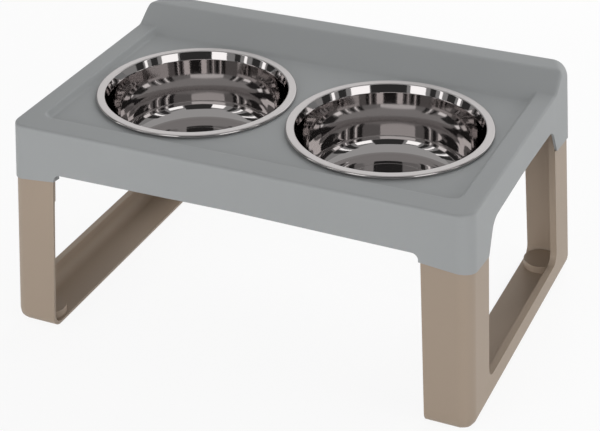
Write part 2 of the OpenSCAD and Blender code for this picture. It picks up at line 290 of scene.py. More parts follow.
def prism(name, path, axis, start, stop):
    """A prism between start and stop along axis X or Y, on a path in Y and Z or in X and Z."""
    along = Vector((1, 0, 0)) if axis == "X" else Vector((0, 1, 0))
    bm = bmesh.new()
    verts = []
    for across, z in path:
        side = Vector((0, across, z)) if axis == "X" else Vector((across, 0, z))
        verts.append(bm.verts.new(side + along * start))
    grown = bmesh.ops.extrude_face_region(bm, geom=[bm.faces.new(verts)])
    moved = [v for v in grown["geom"] if isinstance(v, bmesh.types.BMVert)]
    bmesh.ops.translate(bm, verts=moved, vec=along * (stop - start))
    bmesh.ops.recalc_face_normals(bm, faces=bm.faces)
    return new_object(name, bm)


def cylinder(name, x, y, radius, z0, z1, segments):
    """An upright cylinder."""
    bm = bmesh.new()
    bmesh.ops.create_cone(
        bm,
        cap_ends=True,
        segments=segments,
        radius1=radius,
        radius2=radius,
        depth=z1 - z0,
        matrix=Matrix.Translation((x, y, (z0 + z1) / 2)),
    )
    return new_object(name, bm)


def turned(name, profile, x, y, z, steps):
    """A full turn of a profile in R and Z about the upright axis through x and y."""
    bm = bmesh.new()
    verts = [bm.verts.new((r, 0, height)) for r, height in profile]
    edges = [bm.edges.new((a, b)) for a, b in zip(verts, verts[1:])]
    bmesh.ops.spin(
        bm, geom=verts + edges, axis=(0, 0, 1), angle=math.tau, steps=steps, use_merge=True
    )
    bmesh.ops.remove_doubles(bm, verts=bm.verts, dist=1e-6)
    bmesh.ops.recalc_face_normals(bm, faces=bm.faces)
    bmesh.ops.translate(bm, verts=bm.verts, vec=(x, y, z))
    return new_object(name, bm)


def place_piece(obj, material, body, slot, *nodes):
    """Gives a finished piece its material, ties it to its body and hides the CAD nodes it stands
    for. The slot argument is not used."""
    obj.data.materials.append(material)
    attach(obj, body)
    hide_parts(*nodes)
    return obj


# ---- form shared by the tray and the legs ----


def end_x(tray, z):
    """Half length of the tray's outer face at height z."""
    return tray.rim_length / 2 + (tray.rim_height - z) * math.tan(tray.end_draft)


def side_y(tray, z):
    """Half depth of the tray's outer face at height z."""
    return tray.rim_depth / 2 + (tray.rim_height - z) * math.tan(tray.side_draft)


def post_y(tray, leg, z):
    """Inner edge of the leg posts, seen from the end."""
    return side_y(tray, z) - leg.step - leg.post


def flange_x(tray, leg, z):
    """Inner edge of the leg flanges, seen from the front."""
    return end_x(tray, z) - leg.step - leg.flange


def sleeve_x(tray, leg, z):
    """Inner edge of the sleeves, seen from the front."""
    return flange_x(tray, leg, z) - leg.fit - tray.sleeve_return


def sleeve_low(tray):
    """A height a little below the lowest sleeve mouth."""
    below_mouth = 30 * MM
    return tray.rim_height - tray.rear_sleeve - below_mouth


def mouth_block(tray, leg, rear, gap, far):
    """All between the slanted mouth of a right-hand sleeve, lowered by gap, and height far."""
    z0 = tray.rim_height - (tray.rear_sleeve if rear else tray.front_sleeve)
    x0 = sleeve_x(tray, leg, z0)
    y0 = post_y(tray, leg, tray.rim_height) if rear else -side_y(tray, tray.rim_height)
    slant = math.tan(tray.mouth_slant)
    past_middle = 10 * MM
    ys = (-past_middle, CUT_FAR) if rear else (-CUT_FAR, past_middle)

    def place(right, back, top):
        x, y = (CUT_FAR if right else CUT_NEAR), ys[back]
        mouth = z0 - gap - slant * (x - x0) - slant * (y - y0)
        return (x, y, mouth if top == (far < z0) else far)

    return block("mouth", place)


def drafted_block(name, tray, inset, near, z0, z1, bottom=0.0):
    """The right-hand part of the tray's flared body beyond the plane x = near, drawn in by
    inset, with rounded upright corners and, if bottom is given, rounded bottom edges."""

    def place(right, back, top):
        z = z1 if top else z0
        y = side_y(tray, z) - inset
        return (end_x(tray, z) - inset if right else near, y if back else -y, z)

    obj = block(name, place)
    bm = bmesh.new()
    bm.from_mesh(obj.data)
    weight = bm.edges.layers.float.new("bevel_weight_edge")
    radii = (tray.front_corner - inset, tray.rear_corner - inset, bottom)
    for edge in bm.edges:
        a, b = (v.co for v in edge.verts)
        outer = min(a.x, b.x) > near + MM
        if outer and abs(a.z - b.z) > MM:
            edge[weight] = radii[a.y > 0] / max(radii)
        elif max(a.z, b.z) < z0 + MM and (outer or abs(a.x - b.x) > MM):
            edge[weight] = bottom / max(radii)
    bm.to_mesh(obj.data)
    bm.free()
    rounding = obj.modifiers.new("Bevel", "BEVEL")
    rounding.width = max(radii)
    rounding.limit_method = "WEIGHT"
    rounding.segments = 10
    rounding.use_clamp_overlap = False
    return apply_modifiers(obj)


# ---- tray ----

OPENING_SIDES = 128


def climb(u, rise, slope, low_round, high_round):
    """Height at u of a slope that starts at u = 0 and climbs to rise, its bends rounded."""
    bend = math.tan(slope / 2)
    low, high, run = low_round * bend, high_round * bend, rise / math.tan(slope)
    if u <= -low:
        return 0.0
    if u < low * math.cos(slope):
        return low_round - math.sqrt(low_round**2 - (u + low) ** 2)
    if u <= run - high * math.cos(slope):
        return u * math.tan(slope)
    if u < run + high:
        return rise - high_round + math.sqrt(high_round**2 - (run + high - u) ** 2)
    return rise


def blend_low(a, b, width):
    """The lower of a and b, blended where they are within width of each other."""
    if width <= 0:
        return min(a, b)
    share = max(width - abs(a - b), 0) / width
    return min(a, b) - share * share * width / 4


def edge_distance(tray, x, y):
    """Distance of a point of the rim's plane from the rim's rounded outline."""
    radius = tray.front_corner if y < 0 else tray.rear_corner
    dx = tray.rim_length / 2 - abs(x)
    dy = tray.rim_depth / 2 - abs(y)
    if dx < radius and dy < radius:
        return radius - math.hypot(radius - dx, radius - dy)
    return min(dx, dy)


def deck_distance(tray, x, y):
    """Distance outwards from the foot of the slope round the deck, open at the back."""
    radius = tray.deck_corner - tray.slope_run / 2
    dx = abs(x) - (tray.rim_length / 2 - tray.rim_end - tray.slope_run - radius)
    dy = -y - (tray.rim_depth / 2 - tray.rim_front - tray.slope_run - radius)
    return (math.hypot(dx, dy) if dx > 0 and dy > 0 else max(dx, dy)) - radius


def ramp_top_y(tray):
    """Where the ramp's line meets the top of the splash back."""
    return side_y(tray, tray.rim_height + tray.splash_height) - tray.splash_top


def top_height(tray, x, y):
    """Height of the tray's upper surface over a point of the rim's plane."""
    slope, bend = tray.ramp_angle, tray.ramp_round
    slope_foot, slope_head = 4.5 * MM, 3.2 * MM
    corner_blend, rounder_splash = 4 * MM, MM

    def ramp(rise):
        return climb(y - ramp_top_y(tray) + rise / math.tan(slope), rise, slope, bend, bend)

    over_rim = ramp(tray.splash_height)
    over_deck = ramp(tray.splash_height + tray.deck_drop) - tray.deck_drop
    steep = math.atan2(tray.deck_drop, tray.slope_run)
    side = climb(deck_distance(tray, x, y), tray.deck_drop, steep, slope_foot, slope_head)
    sunk = 1 - side / tray.deck_drop
    height = over_rim - sunk * (over_rim - over_deck)
    back = min(max((y - ramp_top_y(tray)) / tray.splash_top, 0), 1)
    radius = tray.splash_front + (tray.splash_corner - tray.splash_front) * back
    past = abs(x) - (tray.rim_length / 2 - radius)
    if past > 0:
        allowed = tray.splash_height - radius + math.sqrt(max(radius**2 - past**2, 0))
        room = tray.splash_height - min(height, allowed)
        height = blend_low(height, allowed, min(room, corner_blend))
    rounding = tray.rim_round + max(height, 0) / tray.splash_height * rounder_splash
    edge = max(edge_distance(tray, x, y), 0)
    if edge < rounding:
        height -= rounding - math.sqrt(rounding**2 - (rounding - edge) ** 2)
    return tray.rim_height + height


def spaced(start, *stretches):
    """Positions from start on; each stretch gives where it ends and its spacing."""
    places, tolerance = [start], 0.01
    for stop, spacing in stretches:
        first = places[-1]
        count = max(1, math.ceil((stop - first) / spacing - tolerance))
        places += [first + (stop - first) * i / count for i in range(1, count + 1)]
    return places


def edge_steps(edge, radius, count=6):
    """Positions that follow a rounding of that radius up to the edge."""
    return [edge - radius * (1 - math.sin(math.pi / 2 * i / count)) for i in range(1, count + 1)]


def grid_lines(tray):
    """Lines of the tray's grid along X and Y, close together where its surface bends."""
    half_x, half_y, bend = tray.rim_length / 2, tray.rim_depth / 2, tray.rim_round + MM
    deck_x, deck_y = half_x - tray.rim_end, half_y - tray.rim_front
    fine, ramp_fine, middling, coarse = 0.9 * MM, 1.2 * MM, 1.6 * MM, 30 * MM
    inside, inside_front, outside = 18 * MM, 16 * MM, 4 * MM
    ramp_foot, ramp_length = 50 * MM, 60 * MM
    right = spaced(
        0, (deck_x - inside, coarse), (deck_x + outside, fine), (half_x - bend, middling)
    ) + edge_steps(half_x, bend)
    front = spaced(deck_y - inside_front, (deck_y + outside, fine), (half_y - bend, middling))
    front += edge_steps(half_y, bend)
    foot = ramp_top_y(tray) - ramp_foot
    back = spaced(foot, (foot + ramp_length, ramp_fine), (half_y - bend, middling))
    back += edge_steps(half_y, bend)
    xs = [-x for x in reversed(right[1:])] + right
    ys = [-y for y in reversed(front)] + spaced(-front[0], (foot, coarse))[1:-1] + back
    return xs, ys


def round_corner(tray, x, y):
    """Draws a point of a square corner of the grid in to the rounded corner."""
    radius = tray.front_corner if y < 0 else tray.rear_corner
    u = abs(x) - (tray.rim_length / 2 - radius)
    v = abs(y) - (tray.rim_depth / 2 - radius)
    if u <= 0 or v <= 0:
        return x, y
    pull = max(u, v) / math.hypot(u, v) - 1
    return x + math.copysign(u, x) * pull, y + math.copysign(v, y) * pull


def tray_shell(tray):
    """The tray's upper surface and outer walls as one even wall, still without cut-outs."""
    xs, ys = grid_lines(tray)
    bm = bmesh.new()
    bmesh.ops.create_grid(bm, x_segments=len(xs) - 1, y_segments=len(ys) - 1, size=1.0)
    for vert in bm.verts:
        x = xs[round((vert.co.x + 1) / 2 * (len(xs) - 1))]
        y = ys[round((vert.co.y + 1) / 2 * (len(ys) - 1))]
        x, y = round_corner(tray, x, y)
        z = top_height(tray, x, y)
        above = max(z - tray.rim_height, 0)
        behind = max(y - ramp_top_y(tray), 0) / (tray.rim_depth / 2 - ramp_top_y(tray))
        x -= above * math.tan(tray.end_draft) * x / (tray.rim_length / 2)
        y -= above * math.tan(tray.side_draft) * behind
        vert.co = (x, y, z)
    low = sleeve_low(tray)
    grown = bmesh.ops.extrude_edge_only(bm, edges=[e for e in bm.edges if e.is_boundary])
    for vert in grown["geom"]:
        if isinstance(vert, bmesh.types.BMVert):
            vert.co.x *= end_x(tray, low) / end_x(tray, vert.co.z)
            vert.co.y *= side_y(tray, low) / side_y(tray, vert.co.z)
            vert.co.z = low
    bmesh.ops.recalc_face_normals(bm, faces=bm.faces)
    if sum(f.normal.z * f.calc_area() for f in bm.faces) < 0:
        bmesh.ops.reverse_faces(bm, faces=bm.faces)
    obj = new_object("tray_moulding", bm)
    wall = obj.modifiers.new("Solidify", "SOLIDIFY")
    wall.thickness = tray.wall
    wall.offset = -1
    wall.use_even_offset = True
    wall.use_quality_normals = True
    return apply_modifiers(obj)


def skirt_arches(tray, leg):
    """Prisms that open the arched lower edges of the front, back and end skirts."""
    past_wall = 10 * MM
    low = sleeve_low(tray) - past_wall
    skirt = tray.rim_height - tray.skirt_height
    x_low, x_high = sleeve_x(tray, leg, low), sleeve_x(tray, leg, skirt)
    middle = skirt + tray.skirt_rise
    long_round, skirt_round, arch_round = 1100 * MM, 8 * MM, 22 * MM
    across = rounded_path(
        [(-x_low, low), (x_low, low), (x_high, skirt), (0, middle), (-x_high, skirt)],
        [0, 0, skirt_round, long_round, skirt_round],
    )
    lean = math.tan(tray.arch_lean)
    mouth = tray.rim_height - tray.rear_sleeve
    top = tray.rim_height - tray.end_skirt
    fall, inset, above_mouth = 3 * MM, 4 * MM, 9 * MM
    shoulder = top - fall
    y_low = post_y(tray, leg, mouth) - inset + (mouth - low + above_mouth) * lean
    y_high = y_low - (shoulder - low) * lean
    along = rounded_path(
        [(-y_low, low), (y_low, low), (y_high, shoulder), (0, top), (-y_high, shoulder)],
        [0, 0, arch_round, long_round, arch_round],
    )
    return [
        prism("skirt_arch", across, "Y", -CUT_THROUGH, CUT_THROUGH),
        prism("end_arch", along, "X", -CUT_THROUGH, CUT_THROUGH),
    ]


def sleeve_return(tray, leg, rear):
    """The wall that closes the inner side of a right-hand sleeve."""
    low, high = sleeve_low(tray), tray.rim_height - tray.wall
    inner = side_y(tray, tray.rim_height - tray.skirt_height) - tray.return_depth

    def place(right, back, top):
        z = high if top else low
        x = sleeve_x(tray, leg, z) + (tray.sleeve_return if right else 0)
        y = side_y(tray, z) - tray.wall / 2
        if rear:
            return (x, y if back else inner, z)
        return (x, -inner if back else -y, z)

    return block("sleeve_return", place)


def deck_rib(tray, x):
    """A rib under the deck from the front skirt to the back skirt."""
    under = tray.rim_height - tray.deck_drop - tray.wall

    def place(right, back, top):
        z = under + tray.wall / 2 if top else under - tray.rib_depth
        y = side_y(tray, z) - tray.wall / 2
        return (x + (tray.rib_wall if right else -tray.rib_wall) / 2, y if back else -y, z)

    return block("deck_rib", place)


def make_tray(tray, leg, bowl):
    """The tray moulding with its openings, collars, ribs and sleeves."""
    obj = tray_shell(tray)
    under = tray.rim_height - tray.deck_drop - tray.wall
    slope = bowl.neck_inset * bowl.bead / bowl.neck_depth
    opening = bowl.diameter / 2 - bowl.band - slope + bowl.steel + bowl.play
    centres, rib_pitch = [side * bowl.spacing / 2 for side in (-1, 1)], bowl.spacing / 4
    for x in centres:
        low, high, radius = under - tray.collar_depth, under + MM, opening + tray.rib_wall
        collar = cylinder("collar", x, -bowl.forward, radius, low, high, OPENING_SIDES)
        boolean(obj, collar, "UNION")
    for place in range(-3, 4):
        boolean(obj, deck_rib(tray, place * rib_pitch), "UNION")
    for rear in (False, True):
        wall = sleeve_return(tray, leg, rear)
        boolean(obj, mirrored(wall, "sleeve_return_left"), "UNION")
        boolean(obj, wall, "UNION")
    for x in centres:
        cutter = cylinder("opening", x, -bowl.forward, opening, UNDER_DECK, CUT_FAR, OPENING_SIDES)
        boolean(obj, cutter, "DIFFERENCE")
    for arch in skirt_arches(tray, leg):
        boolean(obj, arch, "DIFFERENCE")
    for rear in (False, True):
        below = mouth_block(tray, leg, rear, 0, UNDER_DECK)
        boolean(obj, mirrored(below, "mouth_left"), "DIFFERENCE")
        boolean(obj, below, "DIFFERENCE")
    return smooth(obj)


# ---- legs and feet ----

FOOT_SUNK = 1.5 * MM
FOOT_STEM = 4.5 * MM
STEM_LENGTH = 8 * MM
RECESS_PLAY = 0.15 * MM
FOOT_SIDES = 64
PAD_SIDES = 96


def foot_place(tray, leg):
    """Half distances between the feet along X and Y."""
    x = end_x(tray, leg.foot_proud) - leg.step - leg.foot_from_end
    y = side_y(tray, leg.foot_proud) - leg.step - leg.foot_from_side
    return x, y


def window(tray, leg, grow):
    """The opening between the posts, grown by grow."""
    past_top = 20 * MM
    low, high = leg.foot_proud + leg.rail - grow, tray.rim_height + past_top
    y_low, y_high = post_y(tray, leg, low) + grow, post_y(tray, leg, high) + grow
    corner = leg.window_corner + grow
    path = rounded_path(
        [(-y_low, low), (y_low, low), (y_high, high), (-y_high, high)], [corner, corner, 0, 0]
    )
    return prism("window", path, "X", CUT_NEAR, CUT_FAR)


def leg_slab(name, near, far):
    """All of a right-hand leg between two slanted planes; near(z) and far(z) give their X."""

    def place(right, back, top):
        z = CUT_HIGH if top else CUT_LOW
        return (far(z) if right else near(z), CUT_FAR if back else -CUT_FAR, z)

    return block(name, place)


def leg_core(tray, leg, inset, near, top):
    """The inside of a right-hand post and rail beyond the plane x = near, drawn in by inset from
    the leg's outer face."""
    joint = sleeve_low(tray)
    core_end, plug_start = joint + 6 * MM, joint + 4 * MM
    floor, radius = leg.foot_proud + inset, leg.bottom_round - min(inset, MM)
    obj = drafted_block("core", tray, leg.step + inset, near, floor, core_end, radius)
    plug = drafted_block("plug", tray, tray.wall + leg.fit + inset, near - MM, plug_start, top)
    return boolean(obj, plug, "UNION")


def make_right_leg(tray, leg):
    """A U-shaped leg frame: two posts and a floor rail with flanges, window lip and pads."""

    def end_face(z):
        return end_x(tray, z) - leg.step

    floor, joint, top = leg.foot_proud, sleeve_low(tray), tray.rim_height
    plug_top = top - tray.wall - leg.fit
    # The inner ends of the blocks lie apart, so that no two of their faces fall together
    near, plug_near, middle_near, core_near = 0.18, 0.17, 0.16, 0.15
    core_top, past_face, below = 0.32, 50 * MM, -10 * MM
    obj = drafted_block("leg_frame_right", tray, leg.step, near, floor, top, leg.bottom_round)
    for rear in (False, True):
        boolean(obj, mouth_block(tray, leg, rear, leg.fit, CUT_THROUGH), "DIFFERENCE")
    plug = drafted_block("plug", tray, tray.wall + leg.fit, plug_near, joint, plug_top)
    boolean(obj, plug, "UNION")
    boolean(obj, leg_core(tray, leg, leg.wall, core_near, core_top), "DIFFERENCE")
    middle = leg_core(tray, leg, leg.wall / 2, middle_near, plug_top - MM)
    lip = leg_slab("lip", lambda z: end_face(z) - leg.lip, lambda z: end_face(z) + past_face)
    boolean(lip, window(tray, leg, leg.wall), "INTERSECT")
    boolean(lip, duplicate(middle, "lip_limit"), "INTERSECT")
    boolean(obj, lip, "UNION")
    x, y = foot_place(tray, leg)
    radius, pad_top = leg.pad_diameter / 2, floor + leg.pad_height
    for side in (-1, 1):
        pad = cylinder("pad", x, side * y, radius, 0, pad_top, PAD_SIDES)
        boolean(pad, duplicate(middle, "pad_limit"), "INTERSECT")
        boolean(obj, pad, "UNION")
    remove_object(middle)
    boolean(obj, window(tray, leg, 0), "DIFFERENCE")
    boolean(obj, leg_slab("inwards", lambda z: 0, lambda z: flange_x(tray, leg, z)), "DIFFERENCE")
    radius, recess_top = leg.foot_diameter / 2 + RECESS_PLAY, floor + FOOT_SUNK
    for side in (-1, 1):
        recess = cylinder("recess", x, side * y, radius, below, recess_top, FOOT_SIDES)
        boolean(obj, recess, "DIFFERENCE")
    return smooth(obj)


def make_foot(name, leg, x, y):
    """A rubber foot with its stem."""
    radius, disc = leg.foot_diameter / 2, leg.foot_proud + FOOT_SUNK
    top = disc + STEM_LENGTH
    low_edge, high_edge, stem_end = 0.8 * MM, 0.3 * MM, MM
    profile = rounded_path(
        [(0, 0), (radius, 0), (radius, disc), (FOOT_STEM, disc), (FOOT_STEM, top), (0, top)],
        [0, low_edge, high_edge, 0, stem_end, 0],
        steps=4,
    )
    return smooth(turned(name, profile, x, y, 0, FOOT_SIDES), degrees=40)


# ---- bowls ----

BOWL_SIDES = 192
BAND_BEND = 2 * MM
NECK_BEND = 8 * MM
DISC_BEND = 3 * MM
DISC_SLOPE = 6 * MM
CURL_STEPS = 20


def bowl_path(bowl, out):
    """A bowl's section from the band in to the middle, moved outwards by out."""
    neck_slope = math.hypot(bowl.neck_inset, bowl.neck_depth) / bowl.neck_depth
    wall_depth = bowl.depth - bowl.neck_depth
    wall_slope = math.hypot(bowl.wall_inset, wall_depth) / wall_depth
    band = bowl.diameter / 2 - bowl.band
    neck = band - bowl.neck_inset
    points = [
        (bowl.diameter / 2 - bowl.bead / 2, -out),
        (band + out * neck_slope, -out),
        (neck + out * (neck_slope + wall_slope) / 2, -bowl.neck_depth - out),
        (neck - bowl.wall_inset + out * wall_slope, -bowl.depth - out),
        (bowl.disc + DISC_SLOPE, -bowl.depth - out),
        (bowl.disc, bowl.disc_rise - bowl.depth - out),
        (0, bowl.disc_rise - bowl.depth - out),
    ]
    bottom = bowl.bottom_round + out
    return rounded_path(points, [0, BAND_BEND, NECK_BEND, bottom, DISC_BEND, DISC_BEND, 0])


def make_bowl(name, bowl, x):
    """A pressed steel bowl with a flat band and a rolled edge."""
    inside, outside = bowl_path(bowl, 0), bowl_path(bowl, bowl.steel)
    roll = bowl.bead / 2
    centre = Vector((bowl.diameter / 2 - roll, -roll))
    stop = -math.pi - math.asin(1 - bowl.steel / roll)
    edge = []
    for step in range(1, CURL_STEPS + 1):
        a = math.pi / 2 + (stop - math.pi / 2) * step / CURL_STEPS
        edge.append(centre + roll * Vector((math.cos(a), math.sin(a))))
    profile = list(reversed(inside)) + edge + outside[1:]
    obj = turned(name, profile, x, -bowl.forward, bowl.top, BOWL_SIDES)
    return smooth(obj, degrees=50)


# ---- materials ----

# How much the colour and the roughness of a moulding and the roughness of the steel vary
CLOUDING = 0.06
UNEVEN_SHEEN = 0.12
UNEVEN_RINGS = 0.5
# How close the clouds, the grain and the rings lie, and how far the last two show
CLOUD_SCALE = 9.0
GRAIN_SCALE = 1600.0
RING_SCALE = 1400.0
GRAIN_DEPTH = 0.15
GRAIN_HEIGHT = 0.2 * MM
RING_HEIGHT = 0.05 * MM
RING_STRENGTH = 0.25


def feed(tree, socket, value):
    """Sets a socket to a number, or links it to the socket that value is."""
    if isinstance(value, (int, float)):
        socket.default_value = value
    else:
        tree.links.new(value, socket)


def maths(tree, operation, a, b):
    """A Math node; a and b are numbers or the sockets that feed it."""
    node = tree.nodes.new("ShaderNodeMath")
    node.operation = operation
    feed(tree, node.inputs[0], a)
    feed(tree, node.inputs[1], b)
    return node.outputs[0]


def varied(tree, value, amount, middle):
    """A value between 0 and 1 turned into one that varies by amount about middle."""
    scaled = maths(tree, "MULTIPLY", value, amount)
    return maths(tree, "ADD", scaled, middle - amount / 2)


def noise(tree, place, scale, detail):
    """The grey output of a Noise Texture at place; scale is a number or a socket."""
    node = tree.nodes.new("ShaderNodeTexNoise")
    node.inputs["Detail"].default_value = detail
    tree.links.new(place, node.inputs["Vector"])
    feed(tree, node.inputs["Scale"], scale)
    return node.outputs["Fac"]


def bump(tree, height, strength, distance):
    """The normal that a Bump node makes of height; strength is a number or a socket."""
    node = tree.nodes.new("ShaderNodeBump")
    node.inputs["Distance"].default_value = distance
    tree.links.new(height, node.inputs["Height"])
    feed(tree, node.inputs["Strength"], strength)
    return node.outputs["Normal"]


def new_group(name, inputs, outputs):
    """A node group, its input and output sockets, each given with its type, and Object
    coordinates."""
    group = bpy.data.node_groups.new(name, "ShaderNodeTree")
    for in_out, sockets in (("INPUT", inputs), ("OUTPUT", outputs)):
        for socket, kind in sockets.items():
            group.interface.new_socket(socket, in_out=in_out, socket_type=f"NodeSocket{kind}")
    given = group.nodes.new("NodeGroupInput").outputs
    out = group.nodes.new("NodeGroupOutput").inputs
    return group, given, out, group.nodes.new("ShaderNodeTexCoord").outputs["Object"]


def moulded_group():
    """Node group: the grain, the slight clouding and the uneven sheen of a matt moulding."""
    name = "Moulded Surface"
    if name in bpy.data.node_groups:
        return bpy.data.node_groups[name]
    group, given, out, place = new_group(
        name,
        {"Color": "Color", "Roughness": "Float", "Grain Scale": "Float", "Grain Depth": "Float"},
        {"Color": "Color", "Roughness": "Float", "Normal": "Vector"},
    )
    cloud = noise(group, place, CLOUD_SCALE, detail=3.0)
    grain = noise(group, place, given["Grain Scale"], detail=2.0)
    shade = varied(group, cloud, CLOUDING, 1.0)
    tint = group.nodes.new("ShaderNodeVectorMath")
    tint.operation = "SCALE"
    group.links.new(given["Color"], tint.inputs[0])
    group.links.new(shade, tint.inputs["Scale"])
    group.links.new(tint.outputs["Vector"], out["Color"])
    sheen = varied(group, grain, UNEVEN_SHEEN, 0.0)
    group.links.new(maths(group, "ADD", sheen, given["Roughness"]), out["Roughness"])
    group.links.new(bump(group, grain, given["Grain Depth"], GRAIN_HEIGHT), out["Normal"])
    return group


def spun_group():
    """Node group: polished steel with a satin band, both with the fine rings of spinning."""
    name = "Spun Rings"
    if name in bpy.data.node_groups:
        return bpy.data.node_groups[name]
    numbers = dict.fromkeys(("Band Start", "Band End", "Polished", "Satin"), "Float")
    group, given, out, place = new_group(
        name, {"Center": "Vector", **numbers}, {"Roughness": "Float", "Normal": "Vector"}
    )
    from_axis = group.nodes.new("ShaderNodeVectorMath")
    from_axis.operation = "SUBTRACT"
    group.links.new(place, from_axis.inputs[0])
    group.links.new(given["Center"], from_axis.inputs[1])
    split = group.nodes.new("ShaderNodeSeparateXYZ")
    group.links.new(from_axis.outputs["Vector"], split.inputs["Vector"])
    squares = [maths(group, "MULTIPLY", split.outputs[axis], split.outputs[axis]) for axis in "XY"]
    radius = maths(group, "SQRT", maths(group, "ADD", *squares), 0.0)
    rings = group.nodes.new("ShaderNodeCombineXYZ")
    group.links.new(radius, rings.inputs["X"])
    group.links.new(split.outputs["Z"], rings.inputs["Z"])
    lines = noise(group, rings.outputs["Vector"], RING_SCALE, detail=2.0)
    started = maths(group, "GREATER_THAN", radius, given["Band Start"])
    ended = maths(group, "LESS_THAN", radius, given["Band End"])
    band = maths(group, "MULTIPLY", started, ended)
    step = maths(group, "SUBTRACT", given["Satin"], given["Polished"])
    finish = maths(group, "ADD", given["Polished"], maths(group, "MULTIPLY", band, step))
    uneven = varied(group, lines, UNEVEN_RINGS, 1.0)
    group.links.new(maths(group, "MULTIPLY", finish, uneven), out["Roughness"])
    strength = maths(group, "MULTIPLY", band, RING_STRENGTH)
    group.links.new(bump(group, lines, strength, RING_HEIGHT), out["Normal"])
    return group


def set_inputs(node, values):
    """Sets a node's inputs, each given with its value."""
    for name, value in values.items():
        node.inputs[name].default_value = value


def new_material(name, values):
    """A material whose shader has these values."""
    material = bpy.data.materials.new(name)
    material.use_nodes = True
    set_inputs(material.node_tree.nodes["Principled BSDF"], values)
    return material


def add_surface(material, group, values, links):
    """Puts a node group in a material, sets its inputs and links its outputs to the shader."""
    tree = material.node_tree
    node = tree.nodes.new("ShaderNodeGroup")
    node.node_tree = group
    set_inputs(node, values)
    for output, target in links.items():
        tree.links.new(node.outputs[output], tree.nodes["Principled BSDF"].inputs[target])


def plastic(name, base, roughness):
    """A matt moulded plastic."""
    material = new_material(name, {"Specular IOR Level": 0.4})
    grain = {"Grain Scale": GRAIN_SCALE, "Grain Depth": GRAIN_DEPTH}
    surface = {"Color": base, "Roughness": roughness, **grain}
    links = {"Color": "Base Color", "Roughness": "Roughness", "Normal": "Normal"}
    add_surface(material, moulded_group(), surface, links)
    return material


def spun_steel(name, base, bowl, x):
    """Stainless steel of the bowl centred on x: polished inside, satin on its flat band."""
    material = new_material(name, {"Base Color": base, "Metallic": 1.0})
    past_band, before_edge = 0.3 * MM, 1.2 * MM
    surface = {
        "Center": (x, -bowl.forward, 0),
        "Band Start": bowl.diameter / 2 - bowl.band - past_band,
        "Band End": bowl.diameter / 2 - before_edge,
        "Polished": 0.05,
        "Satin": 0.34,
    }
    add_surface(material, spun_group(), surface, {"Roughness": "Roughness", "Normal": "Normal"})
    return material


def plain(name, base, roughness):
    """A plain matt material."""
    return new_material(name, {"Base Color": base, "Roughness": roughness})


# ---- stage ----

CAMERA_PLACE = Vector((0.70099, -1.52103, 1.09645))
CAMERA_RIGHT = Vector((0.91403, 0.40542, -0.01355))
CAMERA_DOWN = Vector((0.19524, -0.46895, -0.86138))
CAMERA_AHEAD = Vector((-0.35558, 0.78468, -0.50778))
CAMERA_LENS = 95.239
CAMERA_SHIFT = -0.011576

FLOOR_REACH = 8.0
FLOOR_WHITE = 0.9
WORLD_LIGHT = 0.35
ROOM_REACH = 3.5
ROOM_HEIGHT = 4.0
LAMP_TARGET = Vector((0, 0, 0.2))

# How strongly the studio shows in the steel
CEILING_GLOW = 0.45
WALL_GLOW = 0.3
DARK_GLOW = 0.04
BRIGHT_GLOW = 1.6

# Place, size and power of each lamp
LAMPS = {
    "Front": ((-0.9, -2.6, 0.6), 1.6, 35),
    "Right": ((2.6, -0.4, 0.8), 1.6, 23),
    "Back": ((0.2, 2.6, 1.75), 2.0, 50),
}
# Place, width and height of each softbox
SOFTBOXES = {
    "softbox_front": ((-0.21, -1.36, 0.85), 0.48, 1.1),
    "softbox_right": ((2.01, -1.16, 1.1), 0.93, 1.5),
}
# Direction in degrees, width and whether it shines, for each tall card round the object
STUDIO_CARDS = (
    (-170, 0.7, False),
    (-158, 0.25, True),
    (-146, 0.6, False),
    (-131, 0.2, True),
    (-120, 0.4, False),
    (-65, 2.4, False),
    (-8, 0.5, False),
    (4, 0.2, True),
    (14, 0.6, False),
)
CARD_DISTANCE = 3.0
CARD_MIDDLE = 1.9


def add_camera(scene):
    """The camera fitted to the photograph."""
    data = bpy.data.cameras.new("Camera")
    data.lens = CAMERA_LENS
    data.shift_x = CAMERA_SHIFT
    camera = bpy.data.objects.new("Camera", data)
    scene.collection.objects.link(camera)
    turn = Matrix((CAMERA_RIGHT, -CAMERA_DOWN, -CAMERA_AHEAD)).transposed()
    camera.matrix_world = Matrix.Translation(CAMERA_PLACE) @ turn.to_4x4()
    scene.camera = camera


def seen_rays(tree):
    """A socket that is 1 for the rays that show a thing to the camera, to metal and to glass."""
    rays = tree.nodes.new("ShaderNodeLightPath").outputs
    direct = maths(tree, "MAXIMUM", rays["Is Camera Ray"], rays["Is Glossy Ray"])
    return maths(tree, "MAXIMUM", direct, rays["Is Transmission Ray"])


def add_world(scene, dim):
    """A white backdrop that lights the object with no more than dim."""
    world = bpy.data.worlds.new("Studio")
    world.use_nodes = True
    tree = world.node_tree
    mix = tree.nodes.new("ShaderNodeMix")
    mix.data_type = "RGBA"
    mix.inputs["A"].default_value = (dim, dim, dim, 1.0)
    mix.inputs["B"].default_value = (1.0, 1.0, 1.0, 1.0)
    tree.links.new(seen_rays(tree), mix.inputs["Factor"])
    tree.links.new(mix.outputs["Result"], tree.nodes["Background"].inputs["Color"])
    scene.world = world


